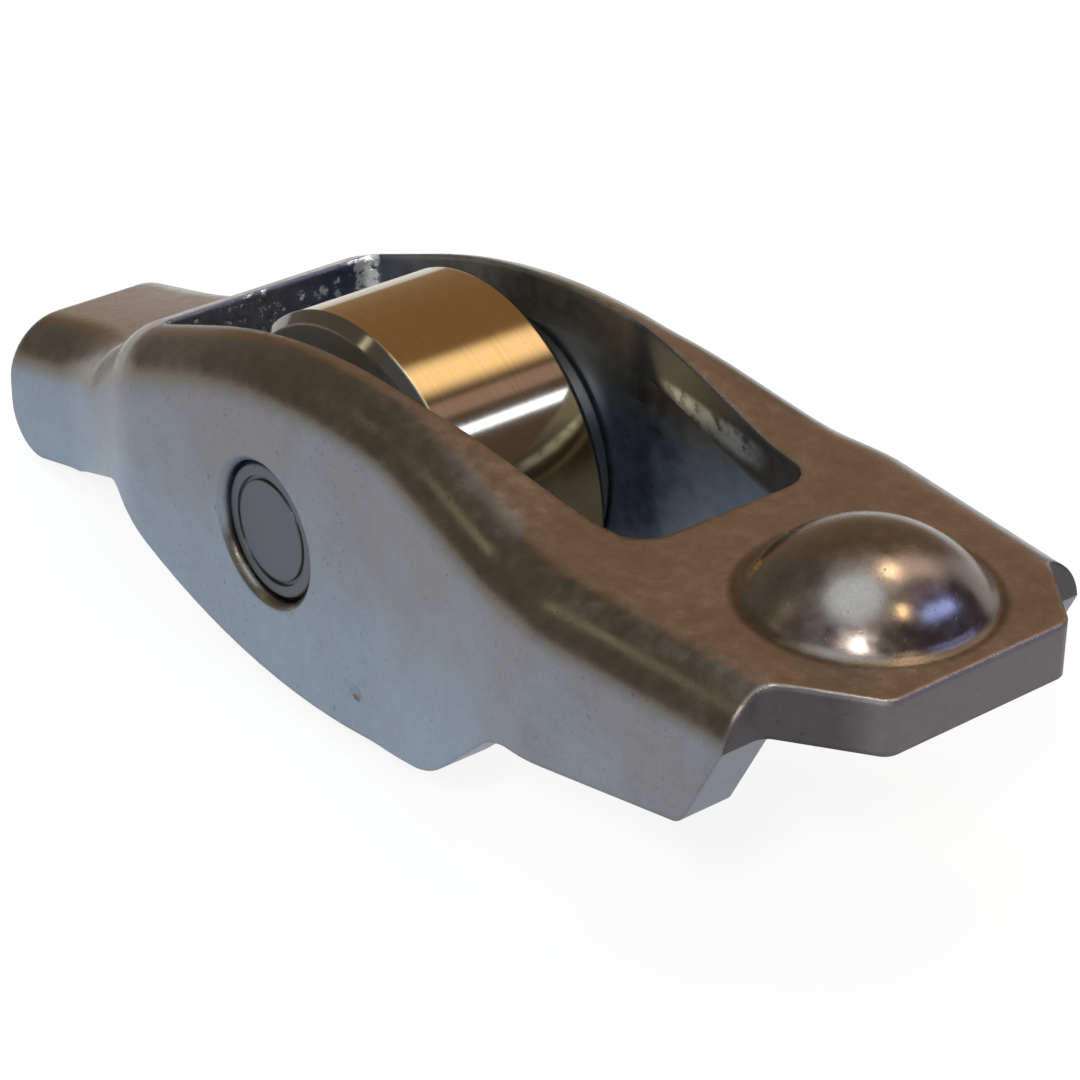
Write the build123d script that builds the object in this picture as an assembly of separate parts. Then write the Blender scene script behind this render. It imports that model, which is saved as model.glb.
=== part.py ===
from build123d import *
from math import asin, atan, cos, floor, pi, sin, sqrt
import os

# Roller finger follower: a stamped sheet-steel rocker arm whose cam roller turns on needles.
# Millimetres. X runs from the valve nose to the socket end, Y along the axle, Z up.
# Each piece is drawn about the axle's centre. At export all of them move together, so that
# the origin is the centre of the pivot ball that the arm rocks on.

# Roller, needles, axle and side washers
roller_diameter = 17.5
roller_width = 8.0
roller_chamfer = 0.5
axle_diameter = 6.6
needle_diameter = 1.55
needle_clearance = 0.02              # radial, on each race
needle_end_clearance = 0.15          # axial, at each end
washer_thickness = 1.8
washer_rim = 1.3                     # washer radius beyond the roller's bore
washer_end_clearance = 0.15          # axial, on each side
washer_bore_clearance = 0.05         # radial, on the axle
axle_bore_clearance = 0.02           # radial, in the arm's walls
axle_recess = 0.4                    # axle end below the wall's outer face
axle_end_chamfer = 0.25
bore_chamfer = 0.25
stake_ring_inset = 0.75              # staking groove, in from the axle's rim
stake_ring_width = 0.2
stake_ring_depth = 0.15

# Sheet and bends of the arm
sheet_thickness = 2.4
bend_radius = 2.9                    # outside radius between the web and the walls
inner_bend_radius = 0.4
nose_wall_thickness = 2.2

# Places along X, from the axle
socket_offset = 28.8                 # to the pivot ball
tip_overhang = 6.2                   # from the pivot ball to the tip's end
wall_overhang = 2.3                  # from the pivot ball to the top of the walls' end
wall_foot_inset = 2.0                # the walls' end leans back to its foot
nose_length = 26.9
window_socket_end = 20.7
window_valve_end = 11.6
flare_start = 8.0                    # the walls start to spread towards the socket
flare_end = 20.5
waist_start = 11.3                   # the walls start to draw in towards the nose
waist_end = 20.5

# Heights of the top line: the web above the axle, the rest as drops below the web
web_height = 7.6
crest_radius = 36.0                  # the hump of the rails over the axle
crest_corner_x = 2.7                 # where the two tangents of the hump would meet
crest_corner_rise = 2.75             # the same place, above the web
crest_foot_offset = 17.6             # where the hump comes down to the web
crest_foot_radius = 12.0
shoulder_offset = 12.8               # where the crest breaks down to the nose
shoulder_drop = 3.2
shoulder_radius = 4.0
valley_offset = 17.6                 # foot of the shoulder, on the nose
valley_drop = 6.8
valley_radius = 3.0
nose_drop = 9.25                     # top of the nose's end

# Widths along Y
socket_half_width = 10.2
wall_end_half_width = 9.4
nose_half_width = 5.3
tip_half_width = 4.6
tip_root_half_width = 7.4
window_socket_half_width = 4.6
window_lip = 0.1                     # web left inside the walls beside the roller

# Corner radii in plan
flare_radius = 9.0
tip_corner_radius = 0.8
tip_root_radius = 0.9
window_valve_corner = 0.8
window_socket_corner = 1.6

# Pivot socket
ball_radius = 4.1
dome_radius = 5.8
dome_sink = 3.0                      # dome centre below the web's top
dome_root_fillet = 0.8

# Valve pad under the nose
pad_thickness = 3.2
pad_crown_radius = 16.0
pad_reach = 6.4                      # from the nose's end to the crown's middle, along the nose
pad_length = 10.0                    # along the nose

# Lower edge of the walls, below the axle unless named a rise
flange_drop = 8.6                    # guide flange at the nose's end
flange_root_drop = 7.0               # guide flange where the waist starts
notch_offset = 13.3                  # notch between the flange and the belly
notch_drop = 3.4
belly_corner_x = -0.1                # where the two tangents of the belly would meet
belly_corner_drop = 9.1
belly_radius = 34.0
heel_offset = 12.9                   # belly's end on the socket side
heel_drop = 5.5
step_offset = 18.0                   # start of the straight edge under the socket
step_drop = 0.7
wall_foot_rise = 1.15                # foot of the walls' end, above the axle
wall_foot_radius = 0.8
flange_corner = 2.2
notch_radius = 2.2
heel_radius = 6.0
step_radius = 4.0

# Punch mark on the wall beside the axle
mark_offset = 6.8
mark_drop = 4.8
mark_radius = 0.38
mark_depth = 0.12

# Sizes that follow from those above
axle_radius = axle_diameter / 2
roller_radius = roller_diameter / 2
needle_pitch_radius = axle_radius + needle_clearance + needle_diameter / 2
roller_bore_radius = needle_pitch_radius + needle_diameter / 2 + needle_clearance
needle_length = roller_width - 2 * needle_end_clearance
needle_count = floor(pi / asin(needle_diameter / 2 / needle_pitch_radius))
washer_radius = roller_bore_radius + washer_rim
inner_half_width = roller_width / 2 + washer_thickness + 2 * washer_end_clearance
roller_half_width = inner_half_width + sheet_thickness
axle_half_length = roller_half_width - axle_recess
tip_end = socket_offset + tip_overhang
wall_end = socket_offset + wall_overhang
wall_foot = wall_end - wall_foot_inset
web_underside = web_height - sheet_thickness
dome_centre_height = web_height - dome_sink
nose_end_height = web_height - nose_drop
nose_slope = (nose_drop - valley_drop) / (nose_length - valley_offset)
through = 40.0                       # reach of a cutting block, beyond any size of the arm
above_all = web_height + dome_radius


def outline(points, radii):
    """A flat face from corner points, each corner rounded to its own radius."""
    return make_face(FilletPolyline(*points, radius=radii, close=True))


def side_slab(points, radii):
    """A side outline in X and Z, carried through the arm along Y."""
    return extrude(Plane.XZ * outline(points, radii), through, both=True)


def plan_slab(points, radii):
    """A plan outline in X and Y, carried through the arm along Z."""
    return extrude(outline(points, radii), through, both=True)


def mirrored(half):
    """The corners of one side of a plan outline, followed by those of the other side."""
    return half + [(x, -y) for x, y in reversed(half)]


def channel_plan(inset, nose_inset):
    """One side of the channel in plan, moved in by the wall's thickness for the inside."""
    return [
        (-2 * nose_length, nose_half_width - nose_inset),
        (-waist_end, nose_half_width - nose_inset),
        (-waist_start, roller_half_width - inset),
        (flare_start, roller_half_width - inset),
        (flare_end, socket_half_width - inset),
        (wall_end, wall_end_half_width - inset),
        (2 * tip_end, wall_end_half_width - inset),
    ]


def top_line(depth):
    """The arm's top line in side view, lowered by a depth; the rounding follows the depth."""
    corners = [
        (-2 * nose_length, web_height - nose_drop - depth - nose_length * nose_slope),
        (-valley_offset, web_height - valley_drop - depth),
        (-shoulder_offset, web_height - shoulder_drop - depth),
        (crest_corner_x, web_height + crest_corner_rise - depth),
        (crest_foot_offset, web_height - depth),
        (2 * tip_end, web_height - depth),
    ]
    rise = [valley_radius + depth, shoulder_radius - depth]
    radii = [0] + rise + [crest_radius - depth, crest_foot_radius + depth, 0]
    below = [(2 * tip_end, -through), (-2 * nose_length, -through)]
    return side_slab(corners + below, radii + [0, 0])


def channel(inset, nose_inset, depth, bend):
    """A channel-shaped block, longer than the arm, with its long top edges rounded."""
    radii = [0, flare_radius, flare_radius, flare_radius, flare_radius, flare_radius, 0]
    block = plan_slab(mirrored(channel_plan(inset, nose_inset)), radii + radii[::-1])
    block &= top_line(depth)
    long_edges = block.edges().filter_by(lambda e: e.bounding_box().size.X > 0.2)
    top_edges = long_edges.filter_by(lambda e: e.center().Z > -through / 2)
    return fillet(top_edges, bend)


def blank():
    """The arm's outline in plan: square at the nose, with a narrower tip past the walls."""
    wide = 2 * socket_half_width
    half = [
        (-nose_length, wide),
        (wall_end, wide),
        (wall_end, tip_root_half_width),
        (tip_end, tip_half_width),
    ]
    radii = [0, 0, tip_root_radius, tip_corner_radius]
    return plan_slab(mirrored(half), radii + radii[::-1])


def valve_pad():
    """The crowned pad that presses on the valve stem, between the guide flanges."""
    slope = atan(nose_slope)
    nose = Plane(
        origin=(-nose_length, 0, nose_end_height),
        x_dir=(cos(slope), 0, sin(slope)),
        z_dir=(-sin(slope), 0, cos(slope)),
    )
    width = 2 * nose_half_width - nose_wall_thickness / 3
    crown = Cylinder(pad_crown_radius, width, rotation=(90, 0, 0))
    crown = Pos(pad_reach, 0, pad_crown_radius - pad_thickness) * crown
    root = 0.8 * sheet_thickness
    block = Box(pad_length, width, 2 * (pad_thickness - root))
    block = Pos(pad_length / 2, 0, -pad_thickness) * block
    return nose * (crown & block)


def dome():
    """The drawn dome over the pivot ball, with a rounded root where it leaves the web."""
    floor = dome_sink - sheet_thickness
    root_centre = dome_radius + dome_root_fillet
    root_height = dome_sink + dome_root_fillet
    root_reach = sqrt(root_centre**2 - root_height**2)
    share = dome_radius / root_centre
    top = (0, dome_radius)
    crown = TangentArc(top, (share * root_reach, share * root_height), tangent=(1, 0))
    root = TangentArc(crown @ 1, (root_reach, dome_sink), tangent=crown % 1)
    plug = Polyline((root_reach, dome_sink), (root_reach, floor), (0, floor), top)
    half = Plane.XZ * make_face([crown, root, plug])
    return Pos(socket_offset, 0, dome_centre_height) * revolve(half, Axis.Z)


def side_view():
    """The arm's outline from the side, above the lower edge of its walls."""
    corners = [
        (-nose_length, above_all),
        (-nose_length, -flange_drop),
        (-waist_end, -flange_root_drop),
        (-notch_offset, -notch_drop),
        (belly_corner_x, -belly_corner_drop),
        (heel_offset, -heel_drop),
        (step_offset, -step_drop),
        (wall_foot, wall_foot_rise),
        (wall_end, web_underside),
        (tip_end, web_underside),
        (tip_end, above_all),
    ]
    radii = [0, flange_corner, flange_corner, notch_radius, belly_radius, heel_radius, step_radius]
    return side_slab(corners, radii + [wall_foot_radius, 0, 0, 0])


def window():
    """The opening in the web that the roller stands in."""
    beside_roller = inner_half_width - window_lip
    half = [
        (-window_valve_end, beside_roller),
        (flare_start, beside_roller),
        (window_socket_end, window_socket_half_width),
    ]
    radii = [window_valve_corner, flare_radius, window_socket_corner]
    return plan_slab(mirrored(half), radii + radii[::-1])


def ball_seat():
    """The spherical seat for the lash adjuster's ball."""
    return Pos(socket_offset, 0, dome_centre_height) * Sphere(ball_radius)


def axle_bores():
    """The two bores that carry the axle, chamfered at the outer faces."""
    bore_radius = axle_radius + axle_bore_clearance
    bores = Cylinder(bore_radius, 2 * through, rotation=(90, 0, 0))
    for side in (-1, 1):
        rim = Cone(bore_radius, bore_radius + 2 * bore_chamfer, 2 * bore_chamfer)
        bores += Pos(0, side * roller_half_width, 0) * Rot(-90 * side, 0, 0) * rim
    return bores


def punch_mark():
    """A shallow round punch mark in the wall, beside the axle."""
    sphere_radius = (mark_radius**2 + mark_depth**2) / (2 * mark_depth)
    face_y = -roller_half_width - sphere_radius + mark_depth
    return Pos(mark_offset, face_y, -mark_drop) * Sphere(sphere_radius)


def make_arm_body():
    """The arm, stamped and bent from one sheet."""
    arm = channel(0, 0, 0, bend_radius)
    arm &= blank()
    arm &= side_view()
    arm -= channel(sheet_thickness, nose_wall_thickness, sheet_thickness, inner_bend_radius)
    arm += valve_pad() & blank()
    arm += dome()
    arm -= window()
    arm -= ball_seat()
    arm -= axle_bores()
    arm -= punch_mark()
    return arm


def make_axle():
    """The staked axle pin, with a staking groove near the rim of each end."""
    axle = Cylinder(axle_radius, 2 * axle_half_length)
    axle = chamfer(axle.edges().filter_by(GeomType.CIRCLE), axle_end_chamfer)
    groove_radius = axle_radius - stake_ring_inset
    groove = Cylinder(groove_radius, 2 * stake_ring_depth)
    groove -= Cylinder(groove_radius - stake_ring_width, 2 * stake_ring_depth)
    for end in (-1, 1):
        axle -= Pos(0, 0, end * axle_half_length) * groove
    return Rot(90, 0, 0) * axle


def make_roller():
    """The cam roller, a plain hardened ring."""
    ring = Cylinder(roller_radius, roller_width)
    ring = chamfer(ring.edges().filter_by(GeomType.CIRCLE), roller_chamfer)
    ring -= Cylinder(roller_bore_radius, 2 * roller_width)
    return Rot(90, 0, 0) * ring


def make_washer(side):
    """A side washer that keeps the needles in, between the roller and one wall."""
    bore = axle_radius + washer_bore_clearance
    ring = Cylinder(washer_radius, washer_thickness) - Cylinder(bore, 2 * washer_thickness)
    centre = roller_width / 2 + washer_end_clearance + washer_thickness / 2
    return Pos(0, side * centre, 0) * Rot(90, 0, 0) * ring


def make_needle(index):
    """One bearing needle of the full set around the axle."""
    needle = Cylinder(needle_diameter / 2, needle_length)
    place = Rot(0, 0, 360 * index / needle_count) * Pos(needle_pitch_radius, 0, 0)
    return Rot(90, 0, 0) * place * needle


def write(node, piece):
    """Write one piece, moved into the frame of the pivot ball."""
    export_step(Pos(-socket_offset, 0, -dome_centre_height) * piece, f"parts/{node}.step")


os.makedirs("parts", exist_ok=True)
write("arm_body", make_arm_body())
write("axle_pin", make_axle())
write("cam_roller", make_roller())
write("side_washer_front", make_washer(-1))
write("side_washer_back", make_washer(1))
for index in range(needle_count):
    write(f"needle_{index + 1:02d}", make_needle(index))
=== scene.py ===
# %% [markdown]
# # A roller finger follower
# This small stamped arm rocks on a ball under its dome, rolls under a cam and presses on a
# valve stem. The solids come ready-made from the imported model. This script gives each of them
# the finish of its steel, sets a table to stand it on, and lights and frames the picture.
# Lengths are in metres and the origin is the centre of the pivot ball.

# %% load the model
from math import cos, radians, sin, tan

import bpy
from mathutils import Matrix, Vector


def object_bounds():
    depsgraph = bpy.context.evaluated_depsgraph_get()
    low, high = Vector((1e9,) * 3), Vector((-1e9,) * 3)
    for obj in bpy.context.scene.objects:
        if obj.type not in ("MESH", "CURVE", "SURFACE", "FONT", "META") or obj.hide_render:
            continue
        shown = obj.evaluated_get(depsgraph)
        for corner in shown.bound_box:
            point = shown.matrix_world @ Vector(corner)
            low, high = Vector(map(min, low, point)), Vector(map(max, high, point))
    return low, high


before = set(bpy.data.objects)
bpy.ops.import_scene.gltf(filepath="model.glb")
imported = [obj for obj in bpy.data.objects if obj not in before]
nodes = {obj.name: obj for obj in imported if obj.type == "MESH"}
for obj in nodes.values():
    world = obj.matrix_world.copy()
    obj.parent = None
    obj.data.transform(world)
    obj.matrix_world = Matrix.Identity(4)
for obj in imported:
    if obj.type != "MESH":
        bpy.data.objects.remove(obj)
cad_box = [list(corner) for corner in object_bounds()]
mm = 0.001
print("pieces:", len(nodes), "box in mm:", [[round(v / mm, 2) for v in c] for c in cad_box])

# %% [markdown]
# ## Smooth faces with crisp edges
# The solids arrive as loose triangles, so a curved face would show its flats. A small geometry
# node tree joins the triangles where they meet and shades everything smoothly, except along
# edges that turn by more than a chosen angle. One tree serves all the solids, because its
# angle is an input. The same could be done by hand with Merge by Distance and Shade Smooth.

# %% smoothing tree
def smoothing_tree():
    tree = bpy.data.node_groups.new("smooth_by_angle", "GeometryNodeTree")
    face = tree.interface
    face.new_socket("Geometry", in_out="INPUT", socket_type="NodeSocketGeometry")
    face.new_socket("Crisp angle", in_out="INPUT", socket_type="NodeSocketFloat")
    face.new_socket("Join distance", in_out="INPUT", socket_type="NodeSocketFloat")
    face.new_socket("Geometry", in_out="OUTPUT", socket_type="NodeSocketGeometry")
    new, link = tree.nodes.new, tree.links.new
    source, sink = new("NodeGroupInput"), new("NodeGroupOutput")
    merge = new("GeometryNodeMergeByDistance")
    whole, edges = new("GeometryNodeSetShadeSmooth"), new("GeometryNodeSetShadeSmooth")
    edges.domain = "EDGE"
    angle = new("GeometryNodeInputMeshEdgeAngle")
    gentle = new("FunctionNodeCompare")
    gentle.data_type, gentle.operation = "FLOAT", "LESS_THAN"
    link(source.outputs["Geometry"], merge.inputs["Geometry"])
    link(source.outputs["Join distance"], merge.inputs["Distance"])
    link(merge.outputs[0], whole.inputs["Geometry"])
    link(whole.outputs[0], edges.inputs["Geometry"])
    link(angle.outputs["Unsigned Angle"], gentle.inputs[0])
    link(source.outputs["Crisp angle"], gentle.inputs[1])
    link(gentle.outputs[0], edges.inputs["Shade Smooth"])
    link(edges.outputs[0], sink.inputs[0])
    return tree


smooth_by_angle = smoothing_tree()
print("tree inputs:", [s.name for s in smooth_by_angle.interface.items_tree])

# %% [markdown]
# ## Smooth every solid
# Every solid gets the tree as a modifier, which leaves the mesh itself as it came. An input is
# set by its socket's identifier, because two sockets may share a name. The chamfers turn by
# far more than the chosen angle, so they stay crisp while the bends turn smooth.

# %% smooth every solid
crisp_angle = radians(24)
join_distance = 0.002 * mm


def socket_id(tree, name):
    return next(s.identifier for s in tree.interface.items_tree
                if s.name == name and s.in_out == "INPUT")


for solid in nodes.values():
    modifier = solid.modifiers.new("smooth_by_angle", "NODES")
    modifier.node_group = smooth_by_angle
    modifier[socket_id(smooth_by_angle, "Crisp angle")] = crisp_angle
    modifier[socket_id(smooth_by_angle, "Join distance")] = join_distance
print("smoothed:", len(nodes))

# %% [markdown]
# ## Node helpers
# The finishes below are built from small node trees. These helpers add one node each and wire
# it, so that the code of a finish reads like its recipe. A Map Range with a smooth step is
# used wherever something fades in, because a hard switch would show as a line.

# %% node helpers
def wire(tree, socket, value):
    """Link a socket, or set it when the value is a plain number or colour."""
    if isinstance(value, tuple):
        socket.default_value = (*value, 1.0)
    elif isinstance(value, (int, float)):
        socket.default_value = value
    else:
        tree.links.new(value, socket)


def calc(tree, operation, first, second=0.0, clamp=False):
    node = tree.nodes.new("ShaderNodeMath")
    node.operation, node.use_clamp = operation, clamp
    wire(tree, node.inputs[0], first)
    wire(tree, node.inputs[1], second)
    return node.outputs[0]


def product(tree, *masks):
    """Multiplies masks, so that the result is 1 only where all of them are."""
    whole = masks[0]
    for mask in masks[1:]:
        whole = calc(tree, "MULTIPLY", whole, mask)
    return whole


def fade(tree, value, start, end, low=0.0, high=1.0):
    """Goes smoothly from low to high as the value goes from start to end."""
    node = tree.nodes.new("ShaderNodeMapRange")
    node.interpolation_type = "SMOOTHSTEP"
    for name, number in (("Value", value), ("From Min", start), ("From Max", end),
                         ("To Min", low), ("To Max", high)):
        wire(tree, node.inputs[name], number)
    return node.outputs["Result"]


def noise(tree, place, scale, detail=3.0, rough=0.5):
    node = tree.nodes.new("ShaderNodeTexNoise")
    for name, value in (("Vector", place), ("Scale", scale), ("Detail", detail),
                        ("Roughness", rough)):
        wire(tree, node.inputs[name], value)
    return node.outputs["Fac"]


def blend_colours(tree, share, first, second):
    node = tree.nodes.new("ShaderNodeMix")
    node.data_type = "RGBA"
    for socket, value in zip((node.inputs[0], node.inputs[6], node.inputs[7]),
                             (share, first, second)):
        wire(tree, socket, value)
    return node.outputs[2]


def split(tree, vector):
    node = tree.nodes.new("ShaderNodeSeparateXYZ")
    tree.links.new(vector, node.inputs[0])
    return node.outputs


def shader_group(name, inputs, outputs):
    """A new group tree with named sockets. Returns the tree and both of its ends."""
    tree = bpy.data.node_groups.new(name, "ShaderNodeTree")
    kinds = {"number": "NodeSocketFloat", "vector": "NodeSocketVector",
             "colour": "NodeSocketColor"}
    for label, kind in inputs:
        tree.interface.new_socket(label, in_out="INPUT", socket_type=kinds[kind])
    for label, kind in outputs:
        tree.interface.new_socket(label, in_out="OUTPUT", socket_type=kinds[kind])
    source, sink = tree.nodes.new("NodeGroupInput"), tree.nodes.new("NodeGroupOutput")
    return tree, source.outputs, sink.inputs


print("node helpers ready")

# %% [markdown]
# ## The skin of tumbled steel
# After stamping and hardening, the parts tumble with stones, which leaves cloudy patches, a
# fine grain and a few tiny dark pits. Every steel here shares that skin, so it is one shader
# group with named inputs, and each finish turns it up or down. It reads Object coordinates:
# the pattern keeps its true size on every piece and stays put when the piece moves.

# %% steel skin group
cloud_scale, mottle_scale, grain_scale = 330, 1500, 7500      # marks in a metre
pit_scale, dent_scale = 4200, 1100


def steel_skin_group():
    tree, given, result = shader_group(
        "steel_skin",
        [("Place", "vector"), ("Cloud", "number"), ("Grain", "number"), ("Pits", "number"),
         ("Dents", "number")],
        [("Tone", "number"), ("Rough shift", "number"), ("Height", "number")])
    wide = calc(tree, "SUBTRACT", noise(tree, given["Place"], cloud_scale, 4, 0.62), 0.5)
    mottle = calc(tree, "SUBTRACT", noise(tree, given["Place"], mottle_scale, 3, 0.6), 0.5)
    cloud = calc(tree, "MULTIPLY", calc(tree, "ADD", wide, mottle), given["Cloud"])
    grain = calc(tree, "SUBTRACT", noise(tree, given["Place"], grain_scale, 3, 0.7), 0.5)
    grain = calc(tree, "MULTIPLY", grain, given["Grain"])
    pit = fade(tree, noise(tree, given["Place"], pit_scale, 1, 0.4), 0.72, 0.78)
    pit = calc(tree, "MULTIPLY", pit, given["Pits"])
    dent = calc(tree, "MULTIPLY", noise(tree, given["Place"], dent_scale, 2, 0.5), given["Dents"])
    tone = calc(tree, "ADD", calc(tree, "ADD", cloud, grain), 1.0)
    tree.links.new(calc(tree, "SUBTRACT", tone, pit), result["Tone"])
    shift = calc(tree, "ADD", calc(tree, "MULTIPLY", cloud, 0.6), calc(tree, "MULTIPLY", pit, 0.4))
    tree.links.new(shift, result["Rough shift"])
    height = calc(tree, "ADD", dent, calc(tree, "MULTIPLY", grain, 0.5))
    tree.links.new(calc(tree, "SUBTRACT", height, pit), result["Height"])
    return tree


steel_skin = steel_skin_group()
print("skin outputs:", [s.name for s in steel_skin.interface.items_tree if s.in_out == "OUTPUT"])

# %% [markdown]
# ## A helper for finishes
# Each finish is a Principled shader for bare metal. The helper builds what they all share:
# the skin multiplies the base colour and shifts the roughness, and a Bump node turns its
# height into relief. A Bevel node in front of the bump catches light along the edges, as the
# rounded edges of a tumbled part do, and leaves the solid's shape alone.

# %% finish helper
bump_distance = 0.012 * mm
bevel_samples = 4


def finish(name, colour, roughness, cloud=0.2, grain=0.1, pits=0.2, dents=0.3, relief=0.3,
           edge=0.15 * mm):
    """A steel finish. Where the colour is a function, it gets the material's tree, its texture
    coordinates and the skin's height, and returns the colour, the roughness and the height."""
    material = bpy.data.materials.new(name)
    material.use_nodes = True
    tree = material.node_tree
    shader = tree.nodes["Principled BSDF"]
    shader.inputs["Metallic"].default_value = 1.0
    texture = tree.nodes.new("ShaderNodeTexCoord")
    skin = tree.nodes.new("ShaderNodeGroup")
    skin.node_tree = steel_skin
    wire(tree, skin.inputs["Place"], texture.outputs["Object"])
    for label, value in (("Cloud", cloud), ("Grain", grain), ("Pits", pits), ("Dents", dents)):
        skin.inputs[label].default_value = value
    height = skin.outputs["Height"]
    if callable(colour):
        colour, roughness, height = colour(tree, texture.outputs, height)
    toned = tree.nodes.new("ShaderNodeMix")
    toned.data_type, toned.blend_type = "RGBA", "MULTIPLY"
    toned.inputs[0].default_value = 1.0
    wire(tree, toned.inputs[6], colour)
    wire(tree, toned.inputs[7], skin.outputs["Tone"])
    wire(tree, shader.inputs["Base Color"], toned.outputs[2])
    wire(tree, shader.inputs["Roughness"],
         calc(tree, "ADD", skin.outputs["Rough shift"], roughness, True))
    bump = tree.nodes.new("ShaderNodeBump")
    bump.inputs["Strength"].default_value = relief
    bump.inputs["Distance"].default_value = bump_distance
    wire(tree, bump.inputs["Height"], height)
    rim = tree.nodes.new("ShaderNodeBevel")
    rim.samples = bevel_samples
    rim.inputs["Radius"].default_value = edge
    wire(tree, bump.inputs["Normal"], rim.outputs["Normal"])
    wire(tree, shader.inputs["Normal"], bump.outputs["Normal"])
    return material


def coat(node_names, material):
    for name in node_names:
        for place in nodes[name].material_slots:
            place.material = material
    print(material.name, "on", len(node_names), "pieces,", len(material.node_tree.nodes), "nodes")


# %% [markdown]
# ## Where the arm changes its look
# The arm is one sheet, but it doesn't look the same everywhere. Its walls are a pale blue grey
# that turns bluer towards their foot, its top a warm brown and its bends a dark olive; these
# tones are painted reflections of what stands round the part, on top of what the cards give.
# Faces that look inwards get a brown high up and a blue deeper down, also painted reflections.
# The window's punched edges are partly torn and partly sheared, with a painted highlight along
# the sheared part. A second group works out these zones from the place and the direction of
# each face, so nothing has to be painted by hand.

# %% where the zones fade
# Each pair holds the value where a zone is still absent and the one where it is full.
wall_foot = (1 * mm, -12 * mm)                  # height
bend_slope, top_slope = (0.08, 0.42), (0.925, 0.985)      # upward share of the normal
upright_slope = (0.45, 0.25)
inward_slope, downward_slope = (-0.1, -0.5), (-0.2, -0.7)
ring_inner, ring_outer = (4.7 * mm, 5.0 * mm), (5.6 * mm, 5.2 * mm)      # from the dome's middle
dome_rim = (5.2 * mm, 4.9 * mm)
ring_height, dome_height = (2.8 * mm, 2.95 * mm), (2.8 * mm, 3.05 * mm)
deep_height = (2.5 * mm, -1.5 * mm)
wall_end, tip_start = (0.8 * mm, 1.6 * mm), (2.3 * mm, 2.5 * mm)      # along the arm
wall_end_facing, torn_facing = (0.1, 0.3), (0.1, 0.4)
torn_from, torn_to = (-41.2 * mm, -40.9 * mm), (-39.3 * mm, -39.8 * mm)
sheared_from, sheared_to = (-22 * mm, -20.5 * mm), (-7.3 * mm, -7.6 * mm)
window_sides = (6.25 * mm, 6.05 * mm)           # away from the middle line
sheared_height = (0.5 * mm, 0.65 * mm)
shine_from, shine_to = (-19.5 * mm, -17.5 * mm), (-11 * mm, -13.5 * mm)
shine_foot, shine_head = (1.2 * mm, 1.8 * mm), (2.8 * mm, 2.3 * mm)
print("window edges from", torn_from[0] / mm, "to", sheared_to[0] / mm, "mm")


# %% arm zones group
zone_names = ("Low", "Bend", "Top", "Dome", "Root", "Inside", "Deep", "Edge", "Torn", "Sheared",
              "Shine")


def arm_zones_group():
    tree, given, result = shader_group("arm_zones", [("Place", "vector"), ("Facing", "vector")],
                                       [(name, "number") for name in zone_names])
    place, facing = split(tree, given["Place"]), split(tree, given["Facing"])
    up, along, height = facing["Z"], place["X"], place["Z"]
    off_middle = calc(tree, "ABSOLUTE", place["Y"])
    upright = fade(tree, calc(tree, "ABSOLUTE", up), *upright_slope)
    # How low on the wall a face lies; the lower wall is painted bluer, a painted reflection.
    low = fade(tree, height, *wall_foot)
    # The top's brown and the bends' olive laid on these zones are painted reflections.
    top = fade(tree, up, *top_slope)
    bend = fade(tree, up, *bend_slope)
    # The dome, and the narrow ring at its foot, which is darkened as painted shade.
    flat = tree.nodes.new("ShaderNodeCombineXYZ")
    wire(tree, flat.inputs["X"], place["X"])
    wire(tree, flat.inputs["Y"], place["Y"])
    length = tree.nodes.new("ShaderNodeVectorMath")
    length.operation = "LENGTH"
    wire(tree, length.inputs[0], flat.outputs[0])
    reach = length.outputs["Value"]
    ring = product(tree, fade(tree, reach, *ring_inner), fade(tree, reach, *ring_outer),
                   fade(tree, height, *ring_height))
    dome = product(tree, fade(tree, reach, *dome_rim), fade(tree, height, *dome_height))
    # Faces that look towards the middle of the arm, or down.
    outward = calc(tree, "MULTIPLY", facing["Y"], calc(tree, "SIGN", place["Y"]))
    inside = calc(tree, "MAXIMUM", fade(tree, outward, *inward_slope),
                  fade(tree, up, *downward_slope))
    deep = fade(tree, height, *deep_height)
    # The cut edge of the sheet round the tip and at the walls' end.
    end_face = product(tree, upright, fade(tree, along, *wall_end),
                       fade(tree, calc(tree, "ABSOLUTE", facing["X"]), *wall_end_facing))
    tip_side = product(tree, upright, fade(tree, along, *tip_start))
    edge = calc(tree, "MAXIMUM", end_face, tip_side)
    # The window's edge, torn at the valve side and sheared towards the socket.
    in_window = fade(tree, off_middle, *window_sides)
    torn = product(tree, upright, fade(tree, along, *torn_from), fade(tree, along, *torn_to),
                   in_window, fade(tree, facing["X"], *torn_facing))
    sheared = product(tree, upright, fade(tree, along, *sheared_from),
                      fade(tree, along, *sheared_to), in_window,
                      fade(tree, height, *sheared_height))
    # The Shine band is where a painted highlight lies on the sheared edge.
    shine = product(tree, fade(tree, height, *shine_foot), fade(tree, height, *shine_head),
                    fade(tree, along, *shine_from), fade(tree, along, *shine_to))
    masks = (low, bend, top, dome, ring, inside, deep, edge, torn, sheared, shine)
    for name, mask in zip(zone_names, masks):
        tree.links.new(mask, result[name])
    return tree


arm_zones = arm_zones_group()
print("zones:", [s.name for s in arm_zones.interface.items_tree if s.in_out == "OUTPUT"])
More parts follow.
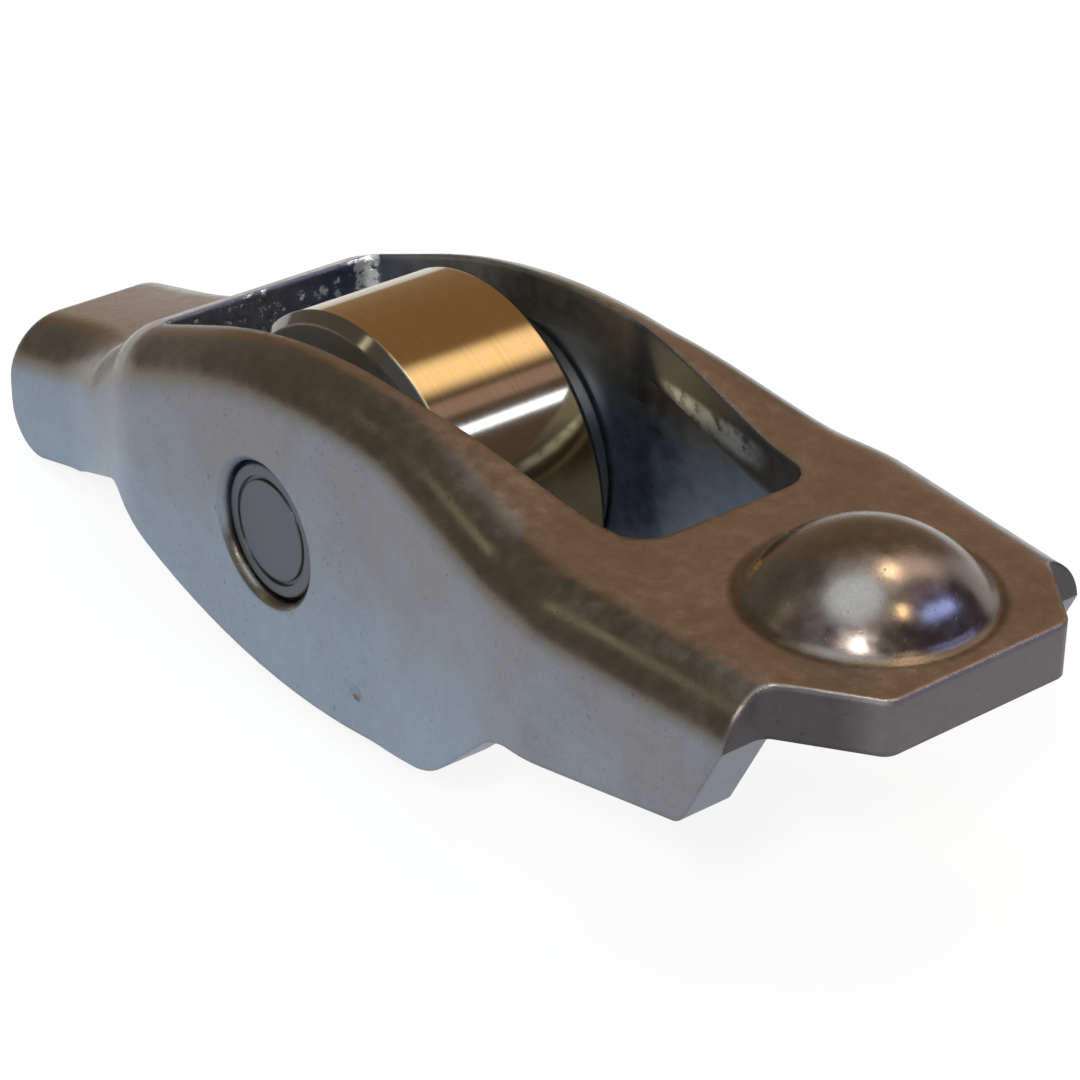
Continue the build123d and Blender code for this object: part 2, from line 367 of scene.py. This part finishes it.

# %% [markdown]
# ## The arm's steel
# The finish lays its colours over each other from the commonest to the rarest: wall, bend,
# top, inside, then the edges of the window. The torn edge at the valve side gets a coarse
# relief from the grains of broken steel, and the grains are painted white as glints, with more
# of them at its far corner, a painted highlight.

# %% arm finish
# The blue of the lower walls is a painted reflection.
wall_warm, wall_reflection_blue = (0.205, 0.205, 0.225), (0.225, 0.285, 0.355)
# The bends' olive and the top's brown are painted reflections.
bend_reflection_olive, top_reflection_brown = (0.145, 0.127, 0.102), (0.27, 0.225, 0.19)
# The dark ring at the dome's foot is painted shade.
dome_steel, root_painted_shade = (0.15, 0.124, 0.106), (0.11, 0.085, 0.065)
# The inside tones, brown high up and blue deeper, are painted reflections.
inside_reflection_brown, inside_reflection_blue = (0.23, 0.22, 0.19), (0.15, 0.185, 0.25)
edge_grey, edge_pale = (0.075, 0.07, 0.073), (0.142, 0.13, 0.135)
# The white grains of the torn edge are painted glints.
torn_blue, torn_glint = (0.16, 0.175, 0.23), (1.0, 1.0, 1.0)
# The bright colour on the sheared edge is a painted highlight.
sheared_dark, sheared_highlight = (0.07, 0.08, 0.10), (0.45, 0.55, 0.70)
patch_scale, grain_mark_scale, streak_scale = 190, 1900, 900      # marks in a metre
plain_roughness, bend_polish = 0.44, 0.20
torn_relief = 20.0
# The torn edge's far corner gets a painted highlight.
highlight_span_across = (4.6 * mm, 5.4 * mm)            # across the arm, at the torn edge's far end
pale_tip = (4.4 * mm, 6.1 * mm)                 # along the arm, where the cut edge turns pale


def arm_colours(tree, texture, height):
    zones = tree.nodes.new("ShaderNodeGroup")
    zones.node_tree = arm_zones
    wire(tree, zones.inputs["Place"], texture["Object"])
    wire(tree, zones.inputs["Facing"], texture["Normal"])
    zone = zones.outputs
    patches = fade(tree, noise(tree, texture["Object"], patch_scale, 3, 0.55),
                   0.35, 0.65, -0.2, 0.2)
    cool = calc(tree, "ADD", zone["Low"], patches, True)
    place = split(tree, texture["Object"])
    cut = blend_colours(tree, fade(tree, place["X"], *pale_tip), edge_grey, edge_pale)
    grains = noise(tree, texture["Object"], grain_mark_scale, 4, 0.7)
    # Painted highlight: more white grains towards the torn edge's far corner.
    corner_highlight = fade(tree, place["Y"], *highlight_span_across, 0, 0.16)
    bright = fade(tree, calc(tree, "ADD", grains, corner_highlight), 0.55, 0.66)
    torn = blend_colours(tree, bright, torn_blue, torn_glint)
    # A painted highlight in streaks along the sheared edge.
    highlight_streaks = calc(tree, "MULTIPLY", zone["Shine"],
                   fade(tree, noise(tree, texture["Object"], streak_scale, 3, 0.7), 0.3, 0.55))
    sheared = blend_colours(tree, highlight_streaks, sheared_dark, sheared_highlight)
    # Inside faces: painted reflection, brown high up and blue deeper down.
    inside_painted_tone = blend_colours(tree, zone["Deep"], inside_reflection_brown, inside_reflection_blue)
    # The walls turn blue towards their foot: painted reflection. The patches vary it at random.
    colour = blend_colours(tree, cool, wall_warm, wall_reflection_blue)
    for name, layer in (("Bend", bend_reflection_olive), ("Top", top_reflection_brown), ("Dome", dome_steel),
                        ("Root", root_painted_shade), ("Edge", cut), ("Inside", inside_painted_tone),
                        ("Sheared", sheared), ("Torn", torn)):
        colour = blend_colours(tree, zone[name], colour, layer)
    polish = calc(tree, "MULTIPLY", zone["Bend"], bend_polish)
    roughness = calc(tree, "SUBTRACT", plain_roughness, polish)
    coarse = calc(tree, "MULTIPLY", calc(tree, "MULTIPLY", grains, torn_relief), zone["Torn"])
    return colour, roughness, calc(tree, "ADD", height, coarse)


arm_steel = finish("arm_steel", arm_colours, 0, cloud=0.4, grain=0.35, pits=0.25, dents=0.7,
                   relief=0.5, edge=0.4 * mm)
coat(["arm_body"], arm_steel)

# %% [markdown]
# ## The roller
# The roller is ground on its rim, so its rim is close to a mirror with faint lines round it,
# and its two flat sides are duller. The rim's amber tint is a painted reflection of warm
# surroundings, beside the real ones from the cards. The flat sides are painted lighter than
# the rim, painted light, and the chamfers darker, painted shade. The lines come from noise
# that is stretched: it changes quickly along the axle and hardly at all round the rim.

# %% roller finish
# The rim's amber is a painted reflection; the chamfers' grey is painted shade.
rim_reflection_amber, rim_pale, chamfer_painted_shade = (0.30, 0.21, 0.085), (0.385, 0.28, 0.14), (0.155, 0.14, 0.12)
# The flat sides' light grey is painted light.
side_painted_light = (0.52, 0.47, 0.40)
line_stretch, line_scale = 0.02, 9000           # grinding lines, 9 in a millimetre of the axle
rim_roughness, side_dulling = 0.10, 0.28
line_depth = 0.25


def roller_colours(tree, texture, height):
    across = calc(tree, "ABSOLUTE", split(tree, texture["Normal"])["Y"])
    stretch = tree.nodes.new("ShaderNodeMapping")
    stretch.inputs["Scale"].default_value = (line_stretch, 1.0, line_stretch)
    wire(tree, stretch.inputs["Vector"], texture["Object"])
    lines = noise(tree, stretch.outputs[0], line_scale, 2, 0.6)
    colour = blend_colours(tree, lines, rim_reflection_amber, rim_pale)
    # The chamfers are darkened: painted shade.
    colour = blend_colours(tree, fade(tree, across, 0.4, 0.6), colour, chamfer_painted_shade)
    # The flat sides are lightened: painted light.
    flat_side = fade(tree, across, 0.85, 0.95)
    colour = blend_colours(tree, flat_side, colour, side_painted_light)
    dull = calc(tree, "MULTIPLY", flat_side, side_dulling)
    roughness = calc(tree, "ADD", dull, rim_roughness)
    relief = calc(tree, "ADD", height, calc(tree, "MULTIPLY", lines, line_depth))
    return colour, roughness, relief


roller_steel = finish("roller_steel", roller_colours, 0, cloud=0.05, grain=0.05, pits=0.05,
                      dents=0.1, relief=0.12)
coat(["cam_roller"], roller_steel)

# %% [markdown]
# ## Pin, washers and needles
# The pin's ends sit a little below the walls and stay matt from the staking tool. The washers
# are dull pressed steel, and the needles are polished.

# %% small parts
axle_steel = finish("axle_steel", (0.088, 0.094, 0.108), 0.36, 0.35, 0.25, 0.35, 0.5, 0.4)
washer_steel = finish("washer_steel", (0.14, 0.135, 0.125), 0.36, 0.2, 0.1, 0.2, 0.2)
needle_steel = finish("needle_steel", (0.5, 0.5, 0.5), 0.15, 0.05, 0.02, 0.05, 0.1, edge=0.05 * mm)
coat(["axle_pin"], axle_steel)
coat(["side_washer_front", "side_washer_back"], washer_steel)
coat([name for name in nodes if name.startswith("needle_")], needle_steel)

# %% [markdown]
# ## Floor and backdrop
# The table is a matt pale sheet. Pure white behind the part comes from mixing in white light
# for the rays that come straight from the camera, or by way of metal. The rest of the mix is
# the lit sheet itself, which keeps the part's shadow.

# %% floor
white_share, sheet_grey = 0.86, 0.9
sheet_size = 4


def rays_that_see_white(tree):
    """1 for camera, mirror and glass rays, 0 for the rays that light the part."""
    rays = tree.nodes.new("ShaderNodeLightPath").outputs
    seen = calc(tree, "MAXIMUM", rays["Is Camera Ray"], rays["Is Glossy Ray"])
    return calc(tree, "MAXIMUM", seen, rays["Is Transmission Ray"])


def sheet(name, width, height):
    """A flat sheet about the origin, facing up."""
    mesh = bpy.data.meshes.new(name)
    half_w, half_h = width / 2, height / 2
    corners = [(-half_w, -half_h, 0), (half_w, -half_h, 0), (half_w, half_h, 0),
               (-half_w, half_h, 0)]
    mesh.from_pydata(corners, [], [(0, 1, 2, 3)])
    thing = bpy.data.objects.new(name, mesh)
    bpy.context.collection.objects.link(thing)
    return thing


pale_floor = bpy.data.materials.new("pale_floor")
pale_floor.use_nodes = True
tree = pale_floor.node_tree
tree.nodes.clear()
surface, white = tree.nodes.new("ShaderNodeMixShader"), tree.nodes.new("ShaderNodeEmission")
matt = tree.nodes.new("ShaderNodeBsdfDiffuse")
matt.inputs["Color"].default_value = (sheet_grey, sheet_grey, sheet_grey, 1.0)
wire(tree, surface.inputs[0], calc(tree, "MULTIPLY", rays_that_see_white(tree), white_share))
wire(tree, surface.inputs[1], matt.outputs[0])
wire(tree, surface.inputs[2], white.outputs[0])
wire(tree, tree.nodes.new("ShaderNodeOutputMaterial").inputs["Surface"], surface.outputs[0])
floor = sheet("floor", sheet_size, sheet_size)
floor.location.z = cad_box[0][2]
floor.data.materials.append(pale_floor)
print("floor at mm:", round(cad_box[0][2] / mm, 2))

# %% [markdown]
# ## The world's light
# The world is a soft white room. It lights the part at a plain level, and the rays that see
# the background get the rest, up to pure white. The same helper tells these rays apart.

# %% world
room_light = 0.6
world = bpy.data.worlds.new("studio")
bpy.context.scene.world = world
world.use_nodes = True
sky = world.node_tree
sky.nodes["Background"].inputs["Color"].default_value = (1, 1, 1, 1)
extra = calc(sky, "MULTIPLY", rays_that_see_white(sky), 1 - room_light)
glow = calc(sky, "ADD", extra, room_light)
wire(sky, sky.nodes["Background"].inputs["Strength"], glow)
print("world lights at", room_light)

# %% [markdown]
# ## Cards round the part
# Polished steel shows what stands around it. A studio hangs cards there, out of the
# picture: brown and olive ones give the top its warm, dark look, and two bright strips draw
# the lines along the roller. Each card is placed by its direction from the roller, and only
# mirror rays see it, so it lights nothing. Its edges fade so that no reflection ends sharply.

# %% cards
roller_centre = Vector((-28.8, 0, -4.6)) * mm


def towards(azimuth, elevation):
    azimuth, elevation = radians(azimuth), radians(elevation)
    return Vector((cos(azimuth) * cos(elevation), sin(azimuth) * cos(elevation), sin(elevation)))


def card(name, azimuth, elevation, wide, tall, colour, strength=1.0, soft=0.35,
         level=(0, 0, 1), distance=0.5):
    """A glowing card, wide and tall in degrees as the roller sees it. Its height follows the
    level direction, so a strip along the axle is drawn with a level of (0, 1, 0)."""
    width, height = (2 * distance * tan(radians(angle / 2)) for angle in (wide, tall))
    thing = sheet(name, width, height)
    facing = -towards(azimuth, elevation)
    across = Vector(level).cross(facing).normalized()
    turned = Matrix((across, facing.cross(across), facing)).transposed().to_4x4()
    thing.matrix_world = Matrix.Translation(roller_centre - facing * distance) @ turned
    material = bpy.data.materials.new(name)
    material.use_nodes = True
    tree = material.node_tree
    tree.nodes.clear()
    place = split(tree, tree.nodes.new("ShaderNodeTexCoord").outputs["Object"])
    masks = [fade(tree, calc(tree, "ABSOLUTE", place[axis]), size / 2, size / 2 * (1 - soft))
             for axis, size in (("X", width), ("Y", height))]
    surface, light = tree.nodes.new("ShaderNodeMixShader"), tree.nodes.new("ShaderNodeEmission")
    light.inputs["Color"].default_value = (*colour, 1.0)
    light.inputs["Strength"].default_value = strength
    wire(tree, surface.inputs[0], product(tree, *masks))
    wire(tree, surface.inputs[1], tree.nodes.new("ShaderNodeBsdfTransparent").outputs[0])
    wire(tree, surface.inputs[2], light.outputs[0])
    wire(tree, tree.nodes.new("ShaderNodeOutputMaterial").inputs["Surface"], surface.outputs[0])
    thing.data.materials.append(material)
    thing.visible_camera = thing.visible_diffuse = thing.visible_shadow = False
    thing.visible_transmission = thing.visible_volume_scatter = False
    return thing


upwards, axle_way = (0, 0, 1), (0, 1, 0)
cards = [
    card("brown_card", 140, 31, 78, 70, (0.45, 0.31, 0.205), 1.0, 0.15),
    card("olive_card", 204, 27, 104, 76, (0.34, 0.31, 0.255), 1.0, 0.2),
    card("front_card", -76, 30, 78, 60, (0.34, 0.35, 0.40), 1.0, 0.3),
    card("right_card", 32, 26, 104, 88, (0.18, 0.15, 0.175), 1.0, 0.15),
    card("amber_strip", 85, 57, 25, 66, (1.0, 0.86, 0.76), 2.9, 0.75, axle_way, 0.45),
    card("russet_strip", 57, 50, 11, 40, (0.72, 0.60, 0.85), 1.0, 0.5, axle_way, 0.46),
    card("white_strip", 45, 40, 5.5, 36, (0.95, 1.35, 2.9), 5.0, 0.4, axle_way, 0.45),
    card("bend_strip", -134, 35, 5, 13, (1.0, 0.94, 0.62), 3.6, 0.6, upwards, 0.45),
]
print("cards:", [thing.name for thing in cards])

# %% [markdown]
# ## Lamps
# The lamps draw the small bright spots on the dome, one for each place from which it mirrors
# light to the camera: a strong one beside the camera, a wide cool one overhead and two small
# warm ones on the far side. Each is placed by its direction from the roller, as the cards
# are, and a disk keeps its reflection round.

# %% lamps
lamp_distance = 0.42


def lamp(name, azimuth, elevation, size, power, colour=(1, 1, 1)):
    """A disk lamp that points at the roller, from lamp_distance away."""
    data = bpy.data.lights.new(name, "AREA")
    data.shape, data.size, data.energy, data.color = "DISK", size, power, colour
    thing = bpy.data.objects.new(name, data)
    bpy.context.collection.objects.link(thing)
    direction = towards(azimuth, elevation)
    thing.location = roller_centre + direction * lamp_distance
    thing.rotation_euler = direction.to_track_quat("Z", "Y").to_euler()


lamp("key_lamp", -48, 39, 0.07, 1.1)
lamp("top_lamp", -76, 76, 0.30, 0.52, (0.74, 1.0, 1.22))
lamp("upper_lamp", 87, 70, 0.06, 0.24, (1.0, 0.78, 0.46))
lamp("lower_lamp", 12, 58, 0.05, 0.15, (1.0, 0.80, 0.48))

# %% [markdown]
# ## Camera
# The camera looks down on the part from its socket end, with a long lens, so the lines along
# the arm stay nearly parallel. It is placed by its position and the direction that it looks
# back along, then turned by its small roll.

# %% camera
camera_place = Vector((81.95, -82.46, 72.75)) * mm
azimuth, elevation, roll = radians(51.159), radians(30.228), radians(0.616)
back = Vector((sin(azimuth) * cos(elevation), -cos(azimuth) * cos(elevation), sin(elevation)))
level_right = Vector((cos(azimuth), sin(azimuth), 0))
right = (level_right * cos(roll) + back.cross(level_right) * sin(roll)).normalized()
up = back.cross(right)
camera_data = bpy.data.cameras.new("camera")
camera_data.lens, camera_data.sensor_width = 117.308, 36
camera_data.shift_x, camera_data.shift_y = 0.00498, -0.00405
camera_data.clip_start = 0.01
camera = bpy.data.objects.new("camera", camera_data)
bpy.context.collection.objects.link(camera)
turned = Matrix((right, up, back)).transposed().to_4x4()
camera.matrix_world = Matrix.Translation(camera_place) @ turned
bpy.context.scene.camera = camera
bpy.context.scene.view_settings.view_transform = "Standard"
print("camera at mm:", [round(v / mm, 1) for v in camera_place])

# %% pieces dressed
print("pieces dressed:", len(nodes))
